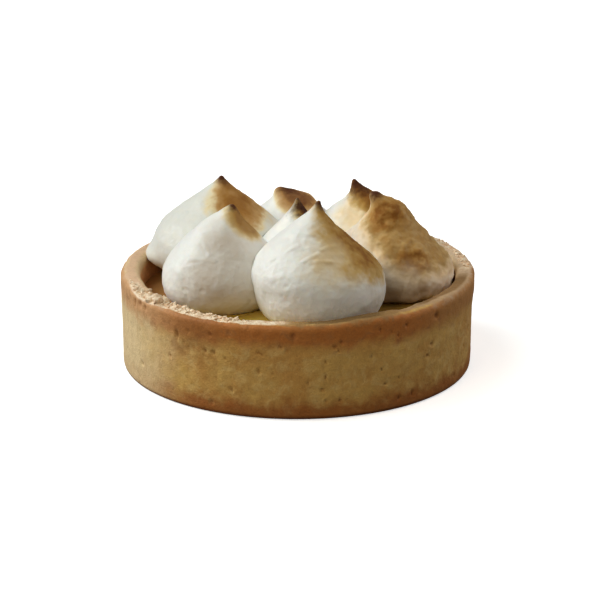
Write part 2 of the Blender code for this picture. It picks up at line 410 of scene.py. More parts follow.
kisses = {
    "meringue_front": {
        "place": (6.5, -26.4), "belly": 18.6, "bellyHeight": 10.4, "height": 33.9, "point": 1.4,
        "lean": (-0.5, 0.6), "bow": (-1.9, 0), "lumps": 0.35,
        "bulges": [(200, 0.3, 0.3), (325, 0, -0.9), (350, 0.2, 0.6), (350, 0.65, -0.6)],
        "footShare": 0.64,
        "flames": [
            ((26.6, -30, 56), 22.9, 4.8, 1), ((10.5, -46, 48), 12.5, 6, 0.5),
            ((15.5, -40, 41.4), 6.2, 4, 0.6),
        ],
        "mottled": 0.15, "tones": {"cream": rgb(226, 210, 178), "paintedShade": rgb(216, 192, 146)},
        # painted shade on the shaded front below the tip
        "paintedShades": [((10.5, -36, 44), 5.2, 3, 0.75)],
        "charAt": (0.9, 0, -0.4), "charReach": 3.8, "ripples": 0.17, "blisters": 0.15,
    },
    "meringue_front_left": {
        "place": (-21, -14), "belly": 16.9, "bellyHeight": 7.8, "height": 29.2, "point": 1.12,
        "lean": (1.2, 0.4), "curl": (1.8, 0, 0), "lumps": 0.3,
        "bulges": [(160, 0.88, 0.6)],
        "flames": [
            ((-14.9, -14.2, 44.9), 6.4, 2.4, 0.9), ((-16.2, -14.2, 49.2), 3.2, 2, 0.8),
            # this faint flame at the foot is painted warm shade, not torching
            ((-23, -33, 21), 9, 6, 0.16),
        ],
        # the shade tone and patches below are painted shade on its lower front and the shaded right of the
        # tip
        "tones": {"paintedShade": rgb(188, 170, 148)},
        "paintedShades": [
            ((-8, -32, 26), 26, 12, 0.36), ((-25.4, -29.5, 32.5), 7.5, 6, 0.6),
            ((-20.5, -24, 43), 7.5, 5, 0.55),
        ],
        "charAt": (0.6, 0, -0.3), "charReach": 3.2, "ripples": 0.16, "blisters": 0.1,
    },
    "meringue_right": {
        "place": (27.2, 0.6), "belly": 16.4, "bellyHeight": 6.4, "height": 28.6, "point": 1.75,
        "lean": (-4, 0), "curl": (-1.2, 0, 0), "lumps": 0.8, "footShare": 0.92,
        "bulges": [(6, 0.86, 5), (255, 0.45, 1.6), (275, 0, 5), (0, 0.05, -1.6), (185, 0.95, 1.4)],
        "flames": [
            ((34.5, -6.5, 41.5), 15.8, 4.5, 0.7), ((25.5, -4.5, 45.5), 9.4, 5, 1),
            ((32.6, -13.5, 34.4), 7.6, 4, 0.95),
        ],
        "mottled": 0.26,
        "tones": {
            "raw": rgb(242, 226, 204), "cream": rgb(236, 208, 164), "golden": rgb(192, 157, 98),
            "brown": rgb(170, 124, 58), "paintedShade": rgb(180, 160, 134),
        },
        # painted shade over its underside, where the front kiss shadows it
        "paintedShades": [((24, -19, 22), 12.5, 5, 1), ((33, -17, 25), 9, 5, 0.8)],
        "charAt": (0, -0.6, -0.3), "charReach": 3.5, "ripples": 0.5, "blisters": 0.25,
    },
    "meringue_middle": {
        "place": (0.9, 0.4), "belly": 13.8, "bellyHeight": 6.5, "height": 26.7, "point": 1.42,
        "lean": (-0.8, 0.4), "lumps": 0.25,
        "bulges": [(190, 0.35, 0.4)],
        "flames": [((9, 2, 50), 10, 2.5, 1), ((4.6, -1, 45.4), 6, 2.5, 1)],
        "tones": {"char": rgb(62, 28, 8)},
        "charAt": (2.5, 0, -2.1), "charReach": 7.2, "ripples": 0.18, "blisters": 0.1,
    },
    "meringue_back_left": {
        "place": (-22.1, 14), "belly": 19.1, "bellyHeight": 9.2, "height": 29.7, "point": 1.45,
        "lean": (0.5, -0.4), "lumps": 0.35,
        "bulges": [(350, 0.8, 0.5), (180, 0.42, 1.3), (170, 0.75, 1), (180, 0.1, 0.6)],
        "flames": [((-8, 11, 55), 16.3, 4, 1), ((-16, 6, 46), 9.6, 5, 0.92)],
        "tones": {
            # its raw tone is darker than the other kisses': painted shade on this back kiss
            "raw": rgb(226, 226, 217), "golden": rgb(194, 154, 96), "brown": rgb(166, 118, 54),
        },
        "charAt": (0.3, 0, 0), "charReach": 4.2, "ripples": 0.15, "blisters": 0.15,
    },
    "meringue_back": {
        "place": (-1.2, 29.4), "belly": 13, "bellyHeight": 8.2, "height": 22.4, "point": 1.3,
        "lean": (-0.4, -0.6), "curl": (-3.2, 0.2, -0.6), "lumps": 0.3,
        "bulges": [(0, 0.86, 2.4), (180, 0.82, 1.4), (180, 0.5, 1.2)],
        "flames": [((2.6, 24, 47.6), 12, 3, 1)],
        "tones": {
            "golden": rgb(200, 166, 116), "brown": rgb(176, 132, 76), "dark": rgb(124, 80, 42),
        },
        "charAt": (2.5, 0, 1), "charReach": 6, "ripples": 0.22, "blisters": 0.15,
    },
    "meringue_back_right": {
        "place": (19.5, 26), "belly": 13.8, "bellyHeight": 7, "height": 24.6, "point": 1.36,
        "lean": (-0.6, 0.2), "curl": (-2.3, 0, 0.5), "lumps": 0.45,
        "bulges": [(10, 0.8, 0.5), (190, 0.45, 1.2)],
        "flames": [((24, 22, 48), 11.8, 3.5, 1), ((18, 18, 38), 9, 5, 0.2)],
        "tones": {"cream": rgb(238, 214, 168)},
        "charAt": (1.4, 0, -0.8), "charReach": 7.4, "ripples": 0.3, "blisters": 0.2,
    },
}

# a smear of meringue that ties the back left kiss to the rim
footSmear = {"place": (-36.6, 13.4, 27.8), "radius": 8, "flatten": (1, 1.1, 0.46)}

# small ridges (and dimples, where the height is below zero): from, to, width, height
kissMarks = {
    "meringue_front_left": [
        ((-29.4, -24.2, 37.8), (-22.8, -26.6, 38), 0.81, 0.19),
        ((-25.3, -22.7, 41.4), (-24.2, -25.2, 39.3), 0.63, 0.17),
        ((-33.4, -22.8, 34.8), (-31.3, -25.9, 33.5), 1.08, 0.17),
        ((-31.1, -27.2, 29.9), (-30.6, -27.5, 29.9), 0.72, -0.22),
        ((-26.3, -29.9, 30.4), (-25.8, -30, 30.4), 0.63, -0.22),
    ],
    "meringue_front": [
        ((-7.9, -35.3, 39.4), (-6, -35.5, 40.8), 0.72, -0.19),
        ((-3.2, -42, 35.6), (-2.8, -42, 35.6), 0.63, -0.19),
        ((1.6, -39.2, 41.7), (5.7, -37.4, 43.4), 0.63, 0.19),
        ((3.5, -39.5, 41.6), (8.9, -38.7, 41.6), 0.63, 0.17),
        ((6.8, -36.4, 44.3), (10.3, -34.1, 44.7), 0.63, 0.17),
        ((0.8, -32.6, 47), (5.7, -34.1, 46.4), 0.81, -0.19),
        ((-6.8, -39, 36.6), (-3.8, -40, 38.3), 0.99, 0.17),
        ((-1.9, -35.3, 43.9), (0.3, -34.8, 44.9), 0.72, 0.17),
    ],
    "meringue_back_right": [
        ((21.2, 23.5, 41.9), (18.8, 18, 37.8), 0.9, 0.28),
        ((11.9, 20.3, 36.5), (16.2, 17.7, 36.7), 0.81, -0.28),
    ],
    "meringue_right": [
        ((24.7, -7.2, 41), (27.5, -5.6, 42.8), 1.08, 0.22),
        ((30.3, -8, 39.7), (30.8, -8, 39.5), 1.26, -0.22),
        ((33, -10.9, 36.3), (33.5, -11, 36), 1.35, 0.22),
        ((27.3, -12.5, 36.7), (27.8, -12.5, 36.5), 1.17, -0.19),
    ],
    "meringue_back_left": [
        ((-34.8, 5.5, 37.7), (-32, 8.3, 40.7), 1.26, 0.19),
        ((-28.8, 7.4, 42.5), (-28.2, 7.4, 42.5), 1.08, -0.17),
    ],
}


def kissRings(kiss, size):
    # height, radius and centre of each ring, from the foot up
    crown = kiss["height"] - kiss["bellyHeight"]
    foot = kiss["belly"] * kiss.get("footShare", size["footShare"])
    rings = []
    for step in range(size["undersideRings"] + 1):
        angle = math.pi / 2 * step / size["undersideRings"]
        height = kiss["bellyHeight"] * (1 - math.cos(angle))
        rings.append((height, foot + (kiss["belly"] - foot) * math.sin(angle), 0.0))
    for step in range(1, size["crownRings"] + 1):
        share = math.sin(math.pi / 2 * step / size["crownRings"])
        slope = max(math.cos(math.pi / 2 * share), 0.0) ** kiss["point"]
        radius = kiss["belly"] * slope + size["tipRound"] * share
        rings.append((kiss["bellyHeight"] + crown * share, radius, share))
    for height, radius, share in rings:
        centre = Vector((*kiss["place"], size["foot"] + height))
        centre += Vector((*kiss["lean"], 0)) * share**1.5
        centre += Vector((*kiss.get("bow", (0, 0)), 0)) * math.sin(math.pi * share)
        curled = easeIn((share - size["curlFrom"]) / (1 - size["curlFrom"]))
        centre += Vector(kiss.get("curl", (0, 0, 0))) * curled
        for direction, level, swelling in kiss["bulges"]:
            swelling *= math.exp(-(((share - level) / size["bulgeSpread"]) ** 2))
            swelling *= easeIn(height / size["flatFoot"]) * easeIn(radius / 1.5)
            centre += toward(direction) * swelling / 2
            radius += swelling / 2
        yield centre * mm, radius * mm


def tipOf(kiss, size):
    return list(kissRings(kiss, size))[-1][0]


# what the shell leaves free for the kisses: its inside, then steps up past the rim, each a rise
# and how much wider it gets
mouldSizes = {
    "segments": 180, "radius": 44.1, "low": 18, "high": 26, "steps": [(1.2, 1.02), (2.4, 1.03), (45, 1)],
}


def makeMould(size):
    mould = newCylinder("mould", size["segments"], size["radius"], size["low"], size["high"])
    pick("FACE", lambda face: face.normal.z > 0.9)
    for rise, widening in size["steps"]:
        extrudeBy((0, 0, rise * mm))
        widen(widening)
    endEdit()
    return mould


def pipeKiss(name, kiss, size):
    # the kiss as it leaves the nozzle, round on every side
    clearSelection()
    rings = list(kissRings(kiss, size))
    centre, radius = rings[0]
    lastCentre, lastRadius = centre - up * size["sink"] * mm, radius
    bpy.ops.mesh.primitive_circle_add(
        vertices=size["ringPoints"], radius=radius, fill_type="NGON", location=lastCentre
    )
    piece = bpy.context.object
    piece.name = name.replace("meringue", "kiss")
    bpy.ops.object.transform_apply()
    startEdit(piece)
    bpy.ops.mesh.select_all(action="SELECT")
    for centre, radius in rings:
        extrudeBy(centre - lastCentre)
        widen(radius / lastRadius, centre)
        lastCentre, lastRadius = centre, radius
    bpy.ops.mesh.select_all(action="SELECT")
    bpy.ops.mesh.normals_make_consistent()
    endEdit()
    useModifier(piece, "SUBSURF", levels=1, render_levels=1)
    if name == "meringue_back_left":
        addSmear(piece, footSmear)
    return piece


def copyOf(piece):
    makeActive(piece)
    bpy.ops.object.duplicate()
    return bpy.context.object


def finishKiss(piece, kiss, size, firmer, mould, marks):
    # dents it by the firmer neighbours and by the crust, then gives it its surface
    for neighbour in firmer:
        useModifier(piece, "BOOLEAN", operation="DIFFERENCE", object=neighbour, solver="EXACT")
    useModifier(piece, "BOOLEAN", operation="INTERSECT", object=mould, solver="EXACT")
    useModifier(piece, "REMESH", mode="VOXEL", voxel_size=size["voxel"] * mm)
    surfaces = [BVHTree.FromObject(other, bpy.context.evaluated_depsgraph_get()) for other in firmer]
    tip = tipOf(kiss, size)
    width = size["creaseWidth"] * mm

    def creaseWeight(co):
        apart = min([surface.find_nearest(co, width)[3] or width for surface in surfaces] + [width])
        return easeIn(1 - apart / width)

    def smearedWeight(co):
        away = (co - Vector(footSmear["place"]) * mm).length / mm
        return easeIn(2.4 - away / footSmear["radius"])

    def bodyWeight(co):
        return easeIn((co - tip).length / (7 * mm)) * easeIn((co.z / mm - size["foot"]) / 3)

    def torchedWeight(co):
        heat = max(
            easeIn((reach - (co - Vector(flame) * mm).length / mm) / soft + 0.5) * strength
            for flame, reach, soft, strength in kiss["flames"]
        )
        return heat * bodyWeight(co)

    paintGroups(piece, crease=creaseWeight)
    if piece.name == "kiss_back_left":
        paintGroups(piece, smeared=smearedWeight)
        soften(piece, "smeared", 240)
    paintGroups(piece, body=bodyWeight, torched=torchedWeight)
    soften(piece, "crease", 10)
    push(piece, "crease", 0.3)
    soften(piece, "body", 6)
    roughen(piece, "body", size["lumpSize"], 2 * kiss["lumps"])
    roughen(piece, "body", 3.2, 1.6 * kiss["ripples"])
    roughen(piece, "body", 1.6, 0.11, layers=1)
    addMarks(piece, marks)
    roughen(piece, "torched", 2.0, kiss["blisters"], pattern="VORONOI", middle=0.4)
    bpy.ops.object.shade_smooth()
    print(piece.name, "finished,", len(piece.data.polygons), "faces")


def addMarks(piece, marks):
    finder = KDTree(len(piece.data.vertices))
    for point in piece.data.vertices:
        finder.insert(point.co, point.index)
    finder.balance()
    for start, end, width, height in marks:
        start, end = Vector(start) * mm, Vector(end) * mm
        along = end - start
        group = piece.vertex_groups.new(name="mark")
        for co, index, _ in finder.find_range((start + end) / 2, along.length / 2 + 1.5 * width * mm):
            share = min(max((co - start).dot(along) / along.length_squared, 0), 1)
            away = (co - start - along * share).length / (width * mm)
            group.add([index], easeIn(1.4 - away), "REPLACE")
        push(piece, "mark", height)
        piece.vertex_groups.remove(piece.vertex_groups["mark"])


def addSmear(piece, smear):
    clearSelection()
    bpy.ops.mesh.primitive_uv_sphere_add(
        segments=32, ring_count=16, radius=smear["radius"] * mm, location=Vector(smear["place"]) * mm
    )
    blob = bpy.context.object
    bpy.ops.transform.resize(value=smear["flatten"])
    bpy.ops.object.transform_apply()
    useModifier(piece, "BOOLEAN", operation="UNION", object=blob, solver="EXACT")
    bpy.data.objects.remove(blob)


# Crumbs on the crumbled stretch of rim

crumbSizes = {
    "count": 340, "kinds": 5, "small": (0.25, 0.55), "large": (0.6, 1.0), "largeShare": 0.13, "seed": 21,
    "thinned": (264, 18),  # none past this direction, and fewer over so many degrees before
    # up to each direction, how near to the axis they lie, how far and where most lie
    "lanes": [(206, 46.8, 49.2, 48.2), (222, 46.0, 49.0, 47.4), (360, 44.9, 48.6, 46.2)],
}

# the flakes that show most: direction in degrees, distance from the axis, radius
clearFlakes = [
    (214.5, 47.9, 2.0), (217.5, 48.2, 1.6), (211, 47.9, 1.1), (203, 48.4, 0.9), (222, 46.6, 1.0),
    (229, 46.2, 0.9), (217, 45.6, 1.4), (212, 45.5, 1.4), (206, 45.9, 1.2), (222, 45.4, 1.2),
    (227, 45.3, 1.1), (209, 46.2, 1.2),
]


def makeCrumbs(size, crust):
    draw = random.Random(size["seed"])
    kinds = []
    for kind in range(size["kinds"]):
        clearSelection()
        bpy.ops.mesh.primitive_ico_sphere_add(subdivisions=2 if kind == 0 else 1, radius=mm)
        crumb = bpy.context.object
        startEdit(crumb)
        bpy.ops.mesh.select_all(action="SELECT")
        bpy.ops.transform.vertex_random(offset=0.26 * mm, uniform=1.0, seed=kind + 3)
        bpy.ops.transform.resize(value=(1.1, 0.85, 0.6))
        endEdit()
        kinds.append(crumb)
    spots = [(azimuth, radius, width, kinds[0]) for azimuth, radius, width in clearFlakes]
    thinEnd, thinning = size["thinned"]
    while len(spots) < size["count"]:
        azimuth = draw.uniform(0, 360)
        if draw.random() > shareAt(azimuth, crustSizes["crumbled"]) * easeIn((thinEnd - azimuth) / thinning):
            continue
        span = size["large"] if draw.random() < size["largeShare"] else size["small"]
        lane = next(lane[1:] for lane in size["lanes"] if azimuth < lane[0])
        spots.append((azimuth, draw.triangular(*lane), draw.uniform(*span), draw.choice(kinds)))
    copies = []
    for azimuth, radius, width, kind in spots:
        hit, place, normal, _ = crust.ray_cast((toward(azimuth) * radius + up * 40) * mm, -up)
        if not hit:
            continue
        copy = bpy.data.objects.new("crumb", kind.data.copy())
        bpy.context.scene.collection.objects.link(copy)
        copy.location = place + normal * width * 0.22 * mm
        copy.rotation_euler = (draw.uniform(-0.6, 0.6), draw.uniform(-0.6, 0.6), draw.uniform(0, math.tau))
        copy.scale = (width, width * draw.uniform(0.7, 1.0), width * draw.uniform(0.7, 1.2))
        copies.append(copy)
    for kind in kinds:
        bpy.data.objects.remove(kind)
    clearSelection()
    for copy in copies:
        copy.select_set(True)
    bpy.context.view_layer.objects.active = copies[0]
    bpy.ops.object.join()
    crumbs = bpy.context.object
    crumbs.name = "rim_crumbs"
    bpy.ops.object.transform_apply()
    bpy.ops.object.shade_smooth_by_angle(angle=math.radians(60))
    print("crumbs:", len(copies), "on the rim")
    return crumbs


# Node helpers. A value given to them is a number, a colour, a vector or another node's output.

def wire(tree, value, socket):
    if isinstance(value, bpy.types.NodeSocket):
        tree.links.new(value, socket)
    else:
        socket.default_value = value


def setInputs(node, values):
    for name, value in values.items():
        node.inputs[name].default_value = value


def calc(tree, operation, *values):
    node = tree.nodes.new("ShaderNodeMath")
    node.operation = operation
    for value, socket in zip(values, node.inputs):
        wire(tree, value, socket)
    return node.outputs[0]


def times(tree, first, second):
    return calc(tree, "MULTIPLY", first, second)


def lackOf(tree, share):
    return calc(tree, "SUBTRACT", 1.0, share)


def sway(tree, value, pattern, amount):
    # the value shifted by a pattern, half the amount either way
    return calc(tree, "MULTIPLY_ADD", calc(tree, "SUBTRACT", pattern, 0.5), amount, value)


def vectorCalc(tree, operation, first, second):
    node = tree.nodes.new("ShaderNodeVectorMath")
    node.operation = operation
    wire(tree, first, node.inputs[0])
    wire(tree, second, node.inputs[1])
    return node.outputs["Value" if operation == "DISTANCE" else "Vector"]


def fade(tree, value, start, end, most=1.0):
    # 0 up to start, most past end, and smooth between
    node = tree.nodes.new("ShaderNodeMapRange")
    node.interpolation_type = "SMOOTHSTEP"
    wire(tree, value, node.inputs["Value"])
    setInputs(node, {"From Min": start, "From Max": end, "To Max": most})
    return node.outputs["Result"]


def noiseAt(tree, place, size, detail=2, roughness=0.5, distortion=0):
    node = tree.nodes.new("ShaderNodeTexNoise")
    wire(tree, place, node.inputs["Vector"])
    setInputs(node, {
        "Scale": 1 / size, "Detail": detail, "Roughness": roughness, "Distortion": distortion,
    })
    return node.outputs[0]


def cellsAt(tree, place, size):
    node = tree.nodes.new("ShaderNodeTexVoronoi")
    node.feature = "SMOOTH_F1"
    wire(tree, place, node.inputs["Vector"])
    setInputs(node, {"Scale": 1 / size, "Smoothness": 0.4})
    return node.outputs["Distance"]


def blend(tree, share, under, over, mode="MIX"):
    node = tree.nodes.new("ShaderNodeMix")
    node.data_type = "RGBA"
    node.blend_type = mode
    wire(tree, share, node.inputs[0])
    wire(tree, under, node.inputs[6])
    wire(tree, over, node.inputs[7])
    return node.outputs[2]


def layered(tree, tones, lowest, layers):
    # each layer is a share and what it lays over those before: a tone by its name, or a colour
    colour = tones[lowest]
    for share, over in layers:
        colour = blend(tree, share, colour, tones[over] if isinstance(over, str) else over)
    return colour


def rampOf(tree, value, stops):
    node = tree.nodes.new("ShaderNodeValToRGB")
    wire(tree, value, node.inputs["Fac"])
    ramp = node.color_ramp
    while len(ramp.elements) < len(stops):
        ramp.elements.new(1.0)
    for element, (position, colour) in zip(ramp.elements, stops):
        element.position = position
        element.color = colour
    return node.outputs["Color"]


def newMaterial(name):
    material = bpy.data.materials.new(name)
    material.use_nodes = True
    tree = material.node_tree
    return material, tree, tree.nodes["Principled BSDF"]


def placeInMillimetres(tree):
    coordinates = tree.nodes.new("ShaderNodeTexCoord")
    return vectorCalc(tree, "MULTIPLY", coordinates.outputs["Object"], (1 / mm, 1 / mm, 1 / mm))


def axesOf(tree, place):
    node = tree.nodes.new("ShaderNodeSeparateXYZ")
    wire(tree, place, node.inputs[0])
    return node.outputs


def attribute(tree, name):
    node = tree.nodes.new("ShaderNodeAttribute")
    node.attribute_name = name
    return node.outputs["Fac"]


def bumpOn(tree, shader, height, distance, strength):
    node = tree.nodes.new("ShaderNodeBump")
    setInputs(node, {"Strength": strength, "Distance": distance * mm})
    wire(tree, height, node.inputs["Height"])
    tree.links.new(node.outputs["Normal"], shader.inputs["Normal"])


def newGroup(name, vectors, numbers, outputs):
    # the names of its vector inputs beside the place, its number inputs and its number outputs
    group = bpy.data.node_groups.new(name, "ShaderNodeTree")
    for names, direction, kind in (
        (["Place"] + vectors, "INPUT", "NodeSocketVector"), (numbers, "INPUT", "NodeSocketFloat"),
        (outputs, "OUTPUT", "NodeSocketFloat"),
    ):
        for socketName in names:
            group.interface.new_socket(name=socketName, in_out=direction, socket_type=kind)
    given = group.nodes.new("NodeGroupInput").outputs
    return group, given["Place"], given, group.nodes.new("NodeGroupOutput").inputs


def useGroup(tree, group, **values):
    node = tree.nodes.new("ShaderNodeGroup")
    node.node_tree = group
    for name, value in values.items():
        wire(tree, value, node.inputs[name])
    return node.outputs


# Torching: how brown a flame has made the meringue at a place, and how charred it is by the tip

def makeFlame():
    group, place, given, result = newGroup(
        "flame", ["Flame"], ["Reach", "Soft", "Strength", "Mottled"], ["Browning"]
    )
    patches = noiseAt(group, place, 4.5, distortion=0.2)
    specks = noiseAt(group, place, 1.5)
    away = vectorCalc(group, "DISTANCE", place, given["Flame"])
    inside = calc(group, "DIVIDE", calc(group, "SUBTRACT", given["Reach"], away), given["Soft"])
    reached = sway(group, sway(group, inside, patches, 1.15), specks, 0.32)
    lumps = noiseAt(group, vectorCalc(group, "ADD", place, (31, 17, 5)), 2.4)
    paler = lackOf(group, times(group, fade(group, lumps, 0.36, 0.7), given["Mottled"]))
    even = times(group, fade(group, reached, -0.5, 1.3), given["Strength"])
    wire(group, times(group, even, paler), result["Browning"])
    return group


def makeCharring():
    group, place, given, result = newGroup("charring", ["Tip"], ["Reach"], ["Charring"])
    specks = noiseAt(group, place, 1.5, roughness=0.6)
    away = vectorCalc(group, "DISTANCE", place, given["Tip"])
    ragged = sway(group, calc(group, "DIVIDE", away, given["Reach"]), specks, 0.8)
    wire(group, fade(group, ragged, 1, 0.15), result["Charring"])
    return group


def makeBubbles():
    # small blisters and pinholes of whipped and baked food, as a height
    group, place, given, result = newGroup("bubbles", [], ["Blistered"], ["Height"])
    blisters = times(group, lackOf(group, cellsAt(group, place, 1.3)), given["Blistered"])
    froth = noiseAt(group, place, 0.7, detail=3, roughness=0.6)
    swirls = noiseAt(group, place, 1.9, detail=3, distortion=0.9)
    height = calc(group, "MULTIPLY_ADD", froth, 0.35, blisters)
    wire(group, calc(group, "MULTIPLY_ADD", swirls, 1.2, height), result["Height"])
    return group


def makeGrain():
    # the sandy surface of baked shortcrust: a height, and a speckle for its colour
    group, place, given, result = newGroup("pastry grain", [], [], ["Height", "Speckle"])
    sand = noiseAt(group, place, 0.55, detail=3, roughness=0.65)
    crumb = noiseAt(group, place, 1.8, detail=3, roughness=0.6)
    wire(group, calc(group, "MULTIPLY_ADD", crumb, 1.4, sand), result["Height"])
    wire(group, calc(group, "MULTIPLY_ADD", sand, 0.5, times(group, crumb, 0.5)), result["Speckle"])
    return group


flameGroup, charringGroup, bubbles, grain = makeFlame(), makeCharring(), makeBubbles(), makeGrain()

meringueColours = {
    "raw": rgb(240, 240, 234), "cream": rgb(232, 215, 172), "golden": rgb(198, 164, 98),
    "brown": rgb(174, 131, 60), "dark": rgb(140, 90, 28), "char": rgb(76, 36, 8),
}


def meringueMaterial(name, kiss, tip):
    material, tree, shader = newMaterial(f"meringue {name}")
    place = placeInMillimetres(tree)

    def lickAt(flame, reach, soft, strength, mottled):
        return useGroup(
            tree, flameGroup, Place=place, Flame=flame, Reach=reach, Soft=soft, Strength=strength,
            Mottled=mottled,
        )["Browning"]

    browning = 0.0
    for flame in kiss["flames"]:
        browning = calc(tree, "MAXIMUM", lickAt(*flame, kiss.get("mottled", 0.06)), browning)
    charring = useGroup(
        tree, charringGroup, Place=place, Tip=tip / mm + Vector(kiss["charAt"]), Reach=kiss["charReach"]
    )
    tones = meringueColours | kiss["tones"]
    browned = rampOf(tree, browning, [
        (0.0, tones["raw"]), (0.22, tones["cream"]), (0.5, tones["golden"]),
        (0.8, tones["brown"]), (1.0, tones["dark"]),
    ])
    # painted shade: each patch lays the shade tone over the browning
    for paintedShade in kiss.get("paintedShades", []):
        browned = blend(tree, lickAt(*paintedShade, 0), browned, tones["paintedShade"])
    charred = blend(tree, charring["Charring"], browned, tones["char"])
    wire(tree, charred, shader.inputs["Base Color"])
    baked = calc(tree, "MAXIMUM", browning, charring["Charring"])
    wire(tree, calc(tree, "MULTIPLY_ADD", baked, 0.4, 0.42), shader.inputs["Roughness"])
    setInputs(shader, {
        "Specular IOR Level": 0.25, "Subsurface Weight": 0.35, "Subsurface Radius": (1.0, 0.8, 0.6),
        "Subsurface Scale": 2.2 * mm,
    })
    surface = useGroup(tree, bubbles, Place=place, Blistered=browning)
    bumpOn(tree, shader, surface["Height"], 0.22, 0.4)
    return material


# Shortcrust

# the lit-left, highlight and shaded rim tones, the pit tone and part of the inside and foot tones are painted
# light and shade
pastryColours = {
    "wall": rgb(216, 174, 96), "wallWarm": rgb(204, 154, 80), "wallPale": rgb(226, 192, 122),
    "wallLitLeft": rgb(240, 216, 168), "streak": rgb(190, 144, 84),
    "band": rgb(184, 106, 40), "blotch": rgb(146, 84, 38), "scuff": rgb(156, 104, 54),
    "foot": rgb(160, 90, 32), "footEdge": rgb(124, 66, 30),
    "rim": rgb(182, 142, 98), "rimLitLeft": rgb(224, 186, 152), "rimRight": rgb(192, 160, 124),
    "rimFarRight": rgb(222, 194, 164), "rimShadeUnderRight": rgb(136, 102, 66),
    "rimKissShade": rgb(160, 123, 75), "rimShaded": rgb(108, 80, 42),
    "rimEdgeHighlight": rgb(238, 210, 160), "inside": rgb(146, 84, 42), "insideLitLeft": rgb(230, 178, 126),
    "bandLeft": rgb(206, 152, 102), "bandRight": rgb(178, 120, 60), "pit": rgb(140, 88, 42),
    "crumb": rgb(250, 234, 206), "crumbShade": rgb(228, 188, 148),
}


